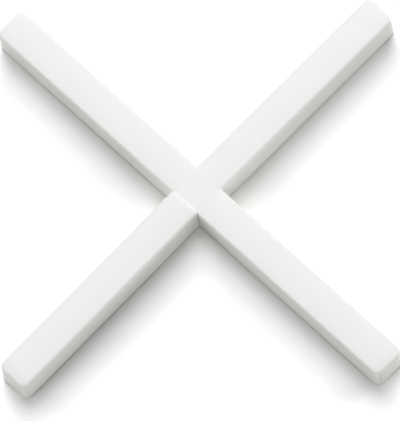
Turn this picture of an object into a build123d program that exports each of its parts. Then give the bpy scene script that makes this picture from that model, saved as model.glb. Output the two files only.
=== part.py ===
from build123d import *
import os
from math import radians, tan

# Tile spacer: a small cross, moulded in one piece in soft white plastic.
# It lies flat between four tiles, one tile corner in each of its open quarters,
# and the width of its arms is the width of the joints between the tiles.
#
# The mould is two straight channels milled across each other, so the cross is built the same way:
# one bar along X and one bar along Y, each with its own cutter's corners and edges, fused into one.
# The underside is the open side of the mould, flat and with sharp edges.
# The origin is the middle of the underside, and +Z points up through the cross.

# Sizes in millimetres, angles in degrees
joint_width = 2.0          # width of both bars at the underside, which is the gap left between tiles
x_bar_length = 28.8        # the bar along X, tip to tip
y_bar_length = 28.8        # the bar along Y, tip to tip
bar_height = 1.85          # underside to the flat top
draft_angle = 0.5          # lean of all side and end faces, which lets the cross out of the mould
tip_corner_radius = 0.36   # upright corners at the four tips
x_bar_edge_radius = 0.09   # top edge of the bar along X, the crisper one
y_bar_edge_radius = 0.12   # top edge of the bar along Y, the softer one
seam_width = 0.20          # moulding line across the root of the -Y arm, where the channels meet
seam_height = 0.04         # how far the moulding line stands above the flat top

# Sizes that follow from those above
side_lean = bar_height * tan(radians(draft_angle))
top_half_width = joint_width / 2 - side_lean
seam_radius = (seam_width**2 / 4 + seam_height**2) / (2 * seam_height)
seam_length = 2 * (top_half_width - y_bar_edge_radius) + seam_width


def drafted_bar(length, edge_radius):
    """A straight bar along X with rounded tips, leaning sides and a softened top edge."""
    underside = RectangleRounded(length, joint_width, tip_corner_radius)
    blank = extrude(underside, amount=bar_height, taper=draft_angle)
    top_edges = blank.faces().sort_by(Axis.Z)[-1].edges()
    return fillet(top_edges, edge_radius)


def moulding_seam():
    """A round-ended rod sunk in the flat top, so that only a low bead of it shows."""
    outline = SlotOverall(seam_length, 2 * seam_radius)
    rod = revolve(split(outline, bisect_by=Plane.XZ), axis=Axis.X, revolution_arc=360)
    return Pos(0, -top_half_width, bar_height + seam_height - seam_radius) * rod


def spacer_cross():
    """Both bars and the moulding line as one solid."""
    x_bar = drafted_bar(x_bar_length, x_bar_edge_radius)
    y_bar = Rot(0, 0, 90) * drafted_bar(y_bar_length, y_bar_edge_radius)
    return x_bar + y_bar + moulding_seam()


os.makedirs("parts", exist_ok=True)
export_step(spacer_cross(), "parts/spacer_cross.step")
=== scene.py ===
import math

import bmesh
import bpy
from mathutils import Matrix, Vector, noise


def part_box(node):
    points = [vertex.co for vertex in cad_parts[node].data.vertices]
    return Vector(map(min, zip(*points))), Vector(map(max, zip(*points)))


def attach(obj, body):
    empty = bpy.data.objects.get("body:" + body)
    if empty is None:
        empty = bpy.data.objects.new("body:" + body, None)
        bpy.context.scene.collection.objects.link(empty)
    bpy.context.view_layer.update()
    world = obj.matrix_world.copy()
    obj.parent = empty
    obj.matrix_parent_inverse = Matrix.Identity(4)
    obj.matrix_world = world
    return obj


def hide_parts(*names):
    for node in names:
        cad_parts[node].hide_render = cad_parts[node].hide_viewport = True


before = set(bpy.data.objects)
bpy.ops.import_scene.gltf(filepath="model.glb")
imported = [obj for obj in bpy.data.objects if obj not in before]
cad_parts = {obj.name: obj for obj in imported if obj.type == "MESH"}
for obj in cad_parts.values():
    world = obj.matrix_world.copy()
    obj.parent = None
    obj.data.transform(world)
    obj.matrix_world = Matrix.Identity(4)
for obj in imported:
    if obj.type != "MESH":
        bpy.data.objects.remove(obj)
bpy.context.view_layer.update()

# A white plastic tile spacer, moulded in one piece: two bars crossed, lying flat on a white table.
# Lengths are in metres. +Z is up, and the origin is the middle of the underside.

MM = 0.001

# Form of the spacer. Its reach and its full height are the frame's own.
box_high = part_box("spacer_cross")[1]
REACH = box_high.x                      # middle of the cross to the end of an arm
HALF_WIDTH = 1.0 * MM                   # half the joint width, at the underside
FLAT_TOP = 1.85 * MM                    # underside to the flat top
SIDE_LEAN = FLAT_TOP * math.tan(math.radians(1.5))
TOP_HALF = HALF_WIDTH - SIDE_LEAN       # half the width of an arm at the flat top
TIP_CORNER = 0.36 * MM                  # radius of the upright corners at the tips
CRISP_EDGE = 0.10 * MM                  # top edge radius of the bar along X
SOFT_EDGE = 0.13 * MM                   # top edge radius of the bar along Y
TIP_STEPS = 8                           # flats round each upright corner
EDGE_STEPS = 5                          # flats round each top edge
SHARP = math.radians(30)                # faces at a larger angle than this meet in an edge

# Moulding line across the root of the -Y arm: a short slope up, facing the middle of the cross,
# and a long one back down
SEAM_FOOT = -0.81 * MM                  # where the short slope starts, on the middle line of the arm
SEAM_WIDTH = 0.25 * MM                  # length of the short slope
SEAM_TAIL = 2.4 * MM                    # length of the long slope
SEAM_HEIGHT = box_high.z - FLAT_TOP
SEAM_SLANT = 0.06                       # how much nearer the middle it lies for each unit towards +X
SEAM_FADE = 0.35 * MM                   # how far its ends run out over the bar along X
SEAM_LOW = 0.68                         # height between the lumps, as a share of the full height
SEAM_LUMPS = [(-0.1 * MM, 0.16 * MM), (0.45 * MM, 0.2 * MM)]    # middle and reach of each lump

# What soft plastic does: the -Y arm stands a little off the straight, and the flat top isn't quite flat
ARM_TURN = math.radians(0.64)
ARM_SHIFT = 0.022 * MM                  # sideways step at the root of the arm
ARM_BLEND = 0.6 * MM                    # length over which the step grows
CROWN_DROP = 0.034 * MM                 # how far the long edges lie below the middle of the top
TIP_ROLL = 0.018 * MM                   # how far the top falls away at the tips
TIP_ROLL_LENGTH = 0.65 * MM
WAVE_HEIGHT = 0.009 * MM
WAVE_LENGTH = 2.1 * MM
STILL_SHARE = 0.7                       # share of the height, from the underside, that keeps its level

# Cuts that give the mesh points to move
SNAP = 0.001 * MM                       # a point nearer to a cut than this counts as on it
GRID_PITCH = 0.5 * MM                   # along both bars
LEVEL_CUTS = [0.2, 0.4, 0.6]            # up the sides, as shares of the flat top's height
SEAM_PITCH = 0.0275 * MM                # across the short slope of the moulding line
SEAM_SPARE = 3                          # cuts before and after that slope
TOP_PITCH = TOP_HALF * 0.1              # along the moulding line
TOP_CUTS = 9                            # on either side of the middle line
FADE_STEPS = 4                          # over each end of the moulding line


def verts_of(geometry):
    """The vertices in what a bmesh operator gives back."""
    return [item for item in geometry if isinstance(item, bmesh.types.BMVert)]


def cross_cage():
    """A square with four arms pulled out of its edges, then raised, with the sides leaning inwards."""
    cage = bmesh.new()
    bmesh.ops.create_grid(cage, x_segments=1, y_segments=1, size=HALF_WIDTH)
    for side in cage.edges[:]:
        outward = (side.verts[0].co + side.verts[1].co).normalized()
        arm = bmesh.ops.extrude_edge_only(cage, edges=[side])["geom"]
        bmesh.ops.translate(cage, verts=verts_of(arm), vec=outward * (REACH - HALF_WIDTH))
    top = verts_of(bmesh.ops.extrude_face_region(cage, geom=cage.faces[:])["geom"])
    bmesh.ops.translate(cage, verts=top, vec=(0, 0, FLAT_TOP))
    for corner in top:
        corner.co.x -= math.copysign(SIDE_LEAN, corner.co.x)
        corner.co.y -= math.copysign(SIDE_LEAN, corner.co.y)
    bmesh.ops.recalc_face_normals(cage, faces=cage.faces)
    return cage


def round_tips(cage):
    """Rounds the upright corners at the end of each arm, and leaves the four inner corners sharp."""
    def at_tip(edge):
        a, b = (end.co for end in edge.verts)
        upright = abs(a.z - b.z) > FLAT_TOP / 2
        return upright and max(abs(a.x), abs(a.y)) > REACH / 2

    corners = [edge for edge in cage.edges if at_tip(edge)]
    bmesh.ops.bevel(cage, geom=corners, offset=TIP_CORNER, offset_type="OFFSET", affect="EDGES",
                    segments=TIP_STEPS, profile=0.5, material=-1, clamp_overlap=False)


def soften_top(cage):
    """Rounds the top edges, with one radius on the bar along X and a larger one on the bar along Y."""
    weight = cage.edges.layers.float.new("bevel_weight_edge")
    for edge in cage.edges:
        a, b = (end.co for end in edge.verts)
        on_top = min(a.z, b.z) > FLAT_TOP / 2
        if on_top and edge.calc_face_angle() > SHARP:
            along_x = abs(a.x + b.x) > abs(a.y + b.y)
            edge[weight] = CRISP_EDGE / SOFT_EDGE if along_x else 1.0
    blank = bpy.data.objects.new("blank", bpy.data.meshes.new("blank"))
    cage.to_mesh(blank.data)
    cage.free()
    bpy.context.scene.collection.objects.link(blank)
    edges = blank.modifiers.new("top edges", "BEVEL")
    edges.limit_method = "WEIGHT"
    edges.offset_type = "OFFSET"
    edges.width = SOFT_EDGE
    edges.segments = EDGE_STEPS
    edges.use_clamp_overlap = False
    ready = blank.evaluated_get(bpy.context.evaluated_depsgraph_get())
    softened = bmesh.new()
    softened.from_mesh(ready.to_mesh())
    bpy.data.objects.remove(blank)
    return softened


def cut_across(body, places, axis):
    """Cuts the whole mesh by planes across one axis, so that it has points to move between its corners."""
    normal = Vector((axis == "x", axis == "y", axis == "z"))
    for place in places:
        geometry = body.verts[:] + body.edges[:] + body.faces[:]
        bmesh.ops.bisect_plane(body, geom=geometry, plane_co=normal * place, plane_no=normal, dist=SNAP)


def even_places(reach, pitch):
    """Places at an even pitch on both sides of the middle, with none in the middle itself."""
    count = int(reach / pitch)
    return [pitch * (step + 0.5 - count) for step in range(2 * count)]


def cut_for_seam(body):
    """Closer cuts at the moulding line, for its short slope, its lumps and its two ends."""
    steps = range(-SEAM_SPARE, int(SEAM_WIDTH / SEAM_PITCH) + SEAM_SPARE + 1)
    cut_across(body, [SEAM_FOOT - SEAM_PITCH * step for step in steps], "y")
    cut_across(body, [TOP_PITCH * step for step in range(-TOP_CUTS, TOP_CUTS + 1)], "x")
    for side in (-1, 1):
        fade = [side * (TOP_HALF + SEAM_FADE * step / FADE_STEPS) for step in range(FADE_STEPS + 1)]
        cut_across(body, fade, "x")


def ease(share):
    """A smooth step from 0 to 1."""
    share = min(max(share, 0.0), 1.0)
    return share * share * (3 - 2 * share)


def seam_rise(x, y):
    """Height of the moulding line over the flat top."""
    foot = SEAM_FOOT + SEAM_SLANT * x
    up = ease((foot - y) / SEAM_WIDTH)
    down = 1 - ease((foot - SEAM_WIDTH - y) / SEAM_TAIL)
    lump = max(math.exp(-((x - middle) / reach) ** 2) for middle, reach in SEAM_LUMPS)
    sides = 1 - ease((abs(x) - TOP_HALF) / SEAM_FADE)
    return SEAM_HEIGHT * (SEAM_LOW + (1 - SEAM_LOW) * lump) * up * down * sides


def top_drop(x, y, wave):
    """How far the top lies below a flat one: crowned across the arms, rolled off at the tips, and wavy."""
    outwards = max(abs(x), abs(y))
    across = min(abs(x), abs(y)) / TOP_HALF
    roll = ease((outwards - REACH + TIP_ROLL_LENGTH) / TIP_ROLL_LENGTH) ** 2
    return CROWN_DROP * across**2 + TIP_ROLL * roll + WAVE_HEIGHT * (0.5 + 0.5 * wave)


def arm_bend(y):
    """How far the -Y arm lies off the straight: a small step at its root, then a slow turn."""
    root = ease((ARM_BLEND / 2 - TOP_HALF - y) / ARM_BLEND)
    return math.tan(ARM_TURN) * max(0.0, -y - HALF_WIDTH) - ARM_SHIFT * root


def settle(body):
    """Moves the points a few hundredths of a millimetre, as shrinkage and handling do to soft plastic."""
    for vert in body.verts:
        x, y, z = vert.co
        wave = noise.noise(vert.co / WAVE_LENGTH)
        height = ease((z - FLAT_TOP * STILL_SHARE) / (FLAT_TOP * (1 - STILL_SHARE)))
        vert.co.z += (seam_rise(x, y) - top_drop(x, y, wave)) * height
        vert.co.x += arm_bend(y)


def make_spacer():
    """The whole spacer as one closed mesh, with crisp edges underneath and in the inner corners."""
    cage = cross_cage()
    round_tips(cage)
    body = soften_top(cage)
    cut_across(body, even_places(REACH, GRID_PITCH), "x")
    cut_across(body, even_places(REACH, GRID_PITCH), "y")
    cut_across(body, [FLAT_TOP * share for share in LEVEL_CUTS], "z")
    cut_for_seam(body)
    settle(body)
    bmesh.ops.recalc_face_normals(body, faces=body.faces)
    for face in body.faces:
        face.smooth = True
    for edge in body.edges:
        edge.smooth = edge.calc_face_angle() < SHARP
    mesh = bpy.data.meshes.new("spacer")
    body.to_mesh(mesh)
    body.free()
    piece = bpy.data.objects.new("spacer", mesh)
    bpy.context.scene.collection.objects.link(piece)
    return piece


class Socket:
    """One output in a node tree, so that shader maths reads as ordinary expressions. Without a link it
    stands for the tree alone, and serves to add the first nodes."""

    def __init__(self, tree, link=None):
        self.tree = tree
        self.link = link

    def node(self, kind, output=None, settings=None, **inputs):
        """Adds a node and gives one of its outputs. The settings are made first, and then each input gets
        its value or link, by its name with _ for a space, or by its number after an n."""
        made = self.tree.nodes.new(kind)
        for name, value in (settings or {}).items():
            setattr(made, name, value)
        for name, value in inputs.items():
            key = int(name[1:]) if name[0] == "n" and name[1:].isdigit() else name.replace("_", " ")
            if isinstance(value, Socket):
                self.tree.links.new(value.link, made.inputs[key])
            else:
                made.inputs[key].default_value = value
        return Socket(self.tree, None if output is None else made.outputs[output])

    def maths(self, operation, *values):
        numbered = {f"n{place}": value for place, value in enumerate(values)}
        return self.node("ShaderNodeMath", 0, {"operation": operation}, **numbered)

    def __add__(self, other):
        return self.maths("ADD", self, other)

    def __sub__(self, other):
        return self.maths("SUBTRACT", self, other)

    def __rsub__(self, other):
        return self.maths("SUBTRACT", other, self)

    def __mul__(self, other):
        return self.maths("MULTIPLY", self, other)

    def __truediv__(self, other):
        return self.maths("DIVIDE", self, other)

    __radd__ = __add__
    __rmul__ = __mul__

    def absolute(self):
        return self.maths("ABSOLUTE", self)

    def larger(self, other):
        return self.maths("MAXIMUM", self, other)

    def smaller(self, other):
        return self.maths("MINIMUM", self, other)

    def clamped(self):
        return self.node("ShaderNodeClamp", 0, Value=self)

    def eased(self, start, full):
        """0 up to the start, 1 from the full value on, and a smooth step between them."""
        share = ((self - start) / (full - start)).clamped()
        return share * share * (3 - share * 2)

    def part(self, axis):
        return self.node("ShaderNodeSeparateXYZ", axis, Vector=self)

    def dot(self, direction):
        settings = {"operation": "DOT_PRODUCT"}
        return self.node("ShaderNodeVectorMath", "Value", settings, n0=self, n1=direction)

    def noise(self, size, detail):
        """Soft noise between 0 and 1, with lumps of about the given size."""
        return self.node("ShaderNodeTexNoise", "Fac", Vector=self, Scale=1 / size, Detail=detail)


# Look of the plastic: a neutral white on top, and a painted warm tint down the sides that stands in for
# light that has passed through the plastic
TOP_WHITE = (0.79, 0.788, 0.781, 1.0)
PAINTED_SIDE_TINT = (0.79, 0.779, 0.742, 1.0)
PAINTED_TINT_START = FLAT_TOP - 0.06 * MM       # height at which the painted side tint starts
PAINTED_TINT_FULL = FLAT_TOP - 0.30 * MM        # height below which there is only the painted side tint
SCATTER_SHARE = 0.04                    # share of the light that goes into the plastic and comes out again
SCATTER_SCALE = 1.0 * MM
SCATTER_SPREAD = (1.0, 0.95, 0.85)
REFRACTIVE_INDEX = 1.5
ROUGHNESS = 0.43

# Its fine variation: clouds, patches that break up the scratches and the painted seam highlight, and a
# coarse and a fine grain
CLOUD_SIZE = 1.6 * MM
PATCH_SIZE = 0.35 * MM
GRAIN_SIZE = 0.11 * MM
FINE_SIZE = 0.035 * MM
CLOUD_TONE, GRAIN_TONE = 0.020, 0.012   # from the darkest to the lightest, as a share of the colour
CLOUD_ROUGHNESS, GRAIN_ROUGHNESS = 0.10, 0.08
GRAIN_BUMP, FINE_BUMP = 0.7, 0.3        # shares of the coarse and the fine grain in the bumps
BUMP_STRENGTH = 0.05
BUMP_DEPTH = 0.01 * MM

# Pale marks on the flat top: a painted highlight along the moulding line, where its slope catches the
# light, fine scratches on the +Y arm, and one faint spot on the +X arm. Each has the x and y of its start
# and of its end and its width, all in millimetres, and how light it is.
SCRATCHES_AND_SEAM_HIGHLIGHT = [
    (-0.20, -0.97, 0.98, -0.90, 0.30, 0.25),
    (-0.26, -0.97, 0.02, -0.94, 0.28, 0.50),
    (0.14, -0.94, 0.74, -0.90, 0.32, 0.62),
    (-0.90, 3.39, -0.02, 3.38, 0.12, 0.42),
    (-0.92, 3.77, -0.42, 3.76, 0.12, 0.55),
    (-0.94, 4.07, 0.92, 4.34, 0.13, 0.45),
    (-0.92, 6.58, -0.10, 6.58, 0.13, 0.60),
    (0.40, 6.30, 0.90, 6.32, 0.12, 0.30),
    (-0.90, 7.61, -0.46, 7.62, 0.12, 0.30),
    (-0.92, 8.14, -0.42, 8.16, 0.13, 0.52),
    (-0.80, 12.64, 0.84, 12.56, 0.13, 0.40),
    (-0.68, 12.54, -0.40, 12.62, 0.15, 0.50),
    (10.42, -0.46, 10.80, -0.44, 0.34, 0.28),
]
MARK_LIFT = 0.09                        # how much lighter the plastic is in a mark
MARK_EVEN = 0.45                        # what a mark keeps where the patches are at their darkest
MARK_PATCHY = 1.1                       # what it gains where they are at their lightest
MARK_ENDS = 6                           # how sharply it stops at its ends


def scratches_and_seam_highlight(place):
    """Highest in the middle of the strongest marks, and 0 away from every mark."""
    mask = None
    for start_x, start_y, end_x, end_y, width, strength in SCRATCHES_AND_SEAM_HIGHLIGHT:
        start = Vector((start_x, start_y, 0)) * MM
        along = Vector((end_x, end_y, 0)) * MM - start
        length = along.length
        along.normalize()
        aside = Vector((-along.y, along.x, 0))
        run = place.dot(along) - start.dot(along)
        off = (place.dot(aside) - start.dot(aside)).absolute()
        line = (1 - off / (width * MM / 2)).clamped()
        ends = ((1 - (run / length * 2 - 1).absolute()) * MARK_ENDS).clamped()
        line = line * ends * strength
        mask = line if mask is None else mask.larger(line)
    return mask


def white_plastic():
    material = bpy.data.materials.new("white moulded plastic")
    material.use_nodes = True
    material.node_tree.nodes.clear()
    tree = Socket(material.node_tree)
    place = tree.node("ShaderNodeTexCoord", "Object")
    # Share of the painted warm side tint, growing below the top, for light that has passed through the
    # plastic
    down = ((PAINTED_TINT_START - place.part("Z")) / (PAINTED_TINT_START - PAINTED_TINT_FULL)).clamped()
    cloud = place.noise(CLOUD_SIZE, detail=3.0) - 0.5
    patches = place.noise(PATCH_SIZE, detail=1.0)
    grain = place.noise(GRAIN_SIZE, detail=2.0)
    fine = place.noise(FINE_SIZE, detail=2.0)
    # Real scratches and the painted highlight on the moulding line, made lighter on the top only
    scratches_and_highlight = scratches_and_seam_highlight(place) * (patches * MARK_PATCHY + MARK_EVEN) * (1 - down)
    tone = 1 + (cloud * CLOUD_TONE + (grain - 0.5) * GRAIN_TONE + scratches_and_highlight * MARK_LIFT)
    lift = tree.node("ShaderNodeCombineXYZ", 0, X=tone, Y=tone, Z=tone)
    # The top white, mixed down the sides with the painted warm tint
    body = tree.node("ShaderNodeMix", "Result", {"data_type": "RGBA"},
                     Factor=down, A=TOP_WHITE, B=PAINTED_SIDE_TINT)
    colour = tree.node("ShaderNodeVectorMath", 0, {"operation": "MULTIPLY"}, n0=body, n1=lift)
    roughness = cloud * CLOUD_ROUGHNESS + (grain - 0.5) * GRAIN_ROUGHNESS + ROUGHNESS
    relief = grain * GRAIN_BUMP + fine * FINE_BUMP
    bump = tree.node("ShaderNodeBump", 0, Height=relief, Strength=BUMP_STRENGTH, Distance=BUMP_DEPTH)
    plastic = tree.node("ShaderNodeBsdfPrincipled", 0, Base_Color=colour, Roughness=roughness, Normal=bump,
                        IOR=REFRACTIVE_INDEX, Subsurface_Weight=SCATTER_SHARE,
                        Subsurface_Scale=SCATTER_SCALE, Subsurface_Radius=SCATTER_SPREAD)
    tree.node("ShaderNodeOutputMaterial", Surface=plastic)
    return material


# View of the photograph: where the camera looks from, and where the middle of the top falls in the picture
PICTURE_WIDTH, PICTURE_HEIGHT = 400, 421
VIEW_ELEVATION = math.radians(70.01)
VIEW_AZIMUTH = math.radians(55.08)
VIEW_ROLL = math.radians(-11.49)
VIEW_DISTANCE = 21.69 * REACH
PIXELS_PER_REACH = 267.66
MIDDLE_X, MIDDLE_Y = 196.86, 189.99     # pixels from the left and from the top
SENSOR_WIDTH = 36.0
NEAREST = 10 * MM                       # nothing nearer to the camera than this is drawn


def view_axes():
    """Right, up and backward directions of the camera, with its roll."""
    sin_a, cos_a = math.sin(VIEW_AZIMUTH), math.cos(VIEW_AZIMUTH)
    sin_e, cos_e = math.sin(VIEW_ELEVATION), math.cos(VIEW_ELEVATION)
    back = Vector((sin_a * cos_e, -cos_a * cos_e, sin_e))
    level = Vector((cos_a, sin_a, 0))
    upward = back.cross(level)
    right = level * math.cos(VIEW_ROLL) + upward * math.sin(VIEW_ROLL)
    up = upward * math.cos(VIEW_ROLL) - level * math.sin(VIEW_ROLL)
    return right, up, back


def view_away():
    """The level direction that points up the picture."""
    up = view_axes()[1]
    return Vector((up.x, up.y, 0)).normalized()


def make_camera():
    right, up, back = view_axes()
    lens = bpy.data.cameras.new("camera")
    lens.sensor_fit = "HORIZONTAL"
    lens.sensor_width = SENSOR_WIDTH
    lens.lens = PIXELS_PER_REACH * VIEW_DISTANCE / REACH / PICTURE_WIDTH * SENSOR_WIDTH
    lens.clip_start = NEAREST
    per_pixel = REACH / PIXELS_PER_REACH
    aside = (MIDDLE_X - PICTURE_WIDTH / 2) * per_pixel
    above = (PICTURE_HEIGHT / 2 - MIDDLE_Y) * per_pixel
    place = Vector((0, 0, FLAT_TOP)) + back * VIEW_DISTANCE - right * aside - up * above
    camera = bpy.data.objects.new("camera", lens)
    turn = Matrix((right, up, back)).transposed().to_4x4()
    camera.matrix_world = Matrix.Translation(place) @ turn
    bpy.context.scene.collection.objects.link(camera)
    bpy.context.scene.camera = camera


# The table: a white floor that gives little light back to the spacer, and a glow seen only in the picture:
# painted light that keeps it white, lightens faint lamp shadows in the open quarters, and lightens the
# spacer's shadow past the tips
TABLE_SIZE = 1.0
TABLE_GAP = 0.05 * MM                   # puts the dark line under the sides where the photograph has it
TABLE_WHITE = 0.3                       # share of the light that it gives back
FAR_GLOW = 0.08                         # at the far side of the cross, and none at the near side
GLOW_REACH = 11.2 * MM                  # from the middle to the far side and to the near side
OPEN_GLOW = 0.12                        # added in the open quarters between the arms
OPEN_SHIFT = 0.55 * MM                  # towards +X and -Y, the two sides where the shadow falls
OPEN_START, OPEN_FULL = 1.75 * MM, 3.05 * MM
TIP_GLOW = 0.18                         # painted light added past the tips, which lightens the spacer's shadow there
TIP_START, TIP_FULL = 13.4 * MM, 15.0 * MM


def background_rays(tree):
    """1 for the camera, and for glossy and transmission rays, which then see the same background."""
    camera = tree.node("ShaderNodeLightPath", "Is Camera Ray")
    glossy = tree.node("ShaderNodeLightPath", "Is Glossy Ray")
    through = tree.node("ShaderNodeLightPath", "Is Transmission Ray")
    return camera.larger(glossy).larger(through)


def table_glow(place):
    """Strength of the glow: it grows away from the camera, in the open quarters and past the tips."""
    x, y = place.part("X"), place.part("Y")
    share = (place.dot(view_away() / GLOW_REACH) * 0.5 + 0.5).clamped()
    beside_y_bar = (x - OPEN_SHIFT).absolute()
    beside_x_bar = (y + OPEN_SHIFT).absolute()
    clear = beside_x_bar.smaller(beside_y_bar).eased(OPEN_START, OPEN_FULL)
    past = x.absolute().larger(y.absolute()).eased(TIP_START, TIP_FULL)
    return share * FAR_GLOW + clear * OPEN_GLOW + past * TIP_GLOW


def white_table():
    """A white floor that stays white in the picture and keeps the spacer's shadow, lightened by painted
    light past the tips.
    """
    material = bpy.data.materials.new("white table")
    material.use_nodes = True
    material.node_tree.nodes.clear()
    tree = Socket(material.node_tree)
    seen = background_rays(tree)
    white = seen * (1 - TABLE_WHITE) + TABLE_WHITE
    colour = tree.node("ShaderNodeCombineColor", 0, Red=white, Green=white, Blue=white)
    matt = tree.node("ShaderNodeBsdfDiffuse", 0, Color=colour)
    place = tree.node("ShaderNodeTexCoord", "Object")
    glow = tree.node("ShaderNodeEmission", 0, Strength=seen * table_glow(place))
    both = tree.node("ShaderNodeAddShader", 0, n0=matt, n1=glow)
    tree.node("ShaderNodeOutputMaterial", Surface=both)
    return material


def make_table():
    sheet = bmesh.new()
    bmesh.ops.create_grid(sheet, x_segments=1, y_segments=1, size=TABLE_SIZE / 2)
    bmesh.ops.translate(sheet, verts=sheet.verts, vec=(0, 0, -TABLE_GAP))
    mesh = bpy.data.meshes.new("table")
    sheet.to_mesh(mesh)
    sheet.free()
    table = bpy.data.objects.new("table", mesh)
    bpy.context.scene.collection.objects.link(table)
    table.data.materials.append(white_table())


# Lamps, all at one distance: name, turn to the left from the picture's top, elevation, width, height,
# and how bright each makes a white card that faces it
LAMP_DISTANCE = 1.0
LAMPS = [
    ("overhead softbox", 6.0, 53.0, 0.56, 0.92, 0.90),
    ("left card", 121.0, 20.0, 0.60, 0.48, 0.29),
    ("right card", 227.0, 16.0, 0.72, 0.40, 0.15),
    ("low right strip", 300.0, 7.0, 0.24, 0.20, 0.40),
    ("low left strip", 90.0, 7.0, 0.24, 0.20, 0.09),
    ("low left card", 130.0, 8.0, 0.50, 0.20, 0.14),
    ("low right card", 225.0, 8.0, 0.50, 0.20, 0.30),
]
DOME_LIGHT = 0.005                      # strength of the surroundings for all but the background rays


def make_lamps():
    for name, turn, elevation, width, height, brightness in LAMPS:
        lamp = bpy.data.lights.new(name, "AREA")
        lamp.shape = "RECTANGLE"
        lamp.size, lamp.size_y = width, height
        # The power for that brightness, with the lamp taken as a disc of the same area
        lamp.energy = brightness * math.pi**2 * (LAMP_DISTANCE**2 + width * height / math.pi)
        tilt = math.radians(elevation)
        level = Matrix.Rotation(math.radians(turn), 3, "Z") @ view_away()
        towards = level * math.cos(tilt) + Vector((0, 0, math.sin(tilt)))
        stand = bpy.data.objects.new(name, lamp)
        stand.location = towards * LAMP_DISTANCE
        stand.rotation_euler = towards.to_track_quat("Z", "Y").to_euler()
        bpy.context.scene.collection.objects.link(stand)


def make_surroundings():
    """Surroundings that are light to see and give the spacer hardly any light."""
    world = bpy.data.worlds.new("studio")
    bpy.context.scene.world = world
    world.use_nodes = True
    world.node_tree.nodes.clear()
    tree = Socket(world.node_tree)
    strength = background_rays(tree) * (1 - DOME_LIGHT) + DOME_LIGHT
    sky = tree.node("ShaderNodeBackground", 0, Strength=strength)
    tree.node("ShaderNodeOutputWorld", Surface=sky)


spacer = make_spacer()
spacer.data.materials.append(white_plastic())
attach(spacer, "root")
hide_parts("spacer_cross")
make_table()
make_lamps()
make_surroundings()
make_camera()

bpy.context.scene.view_settings.view_transform = "Standard"
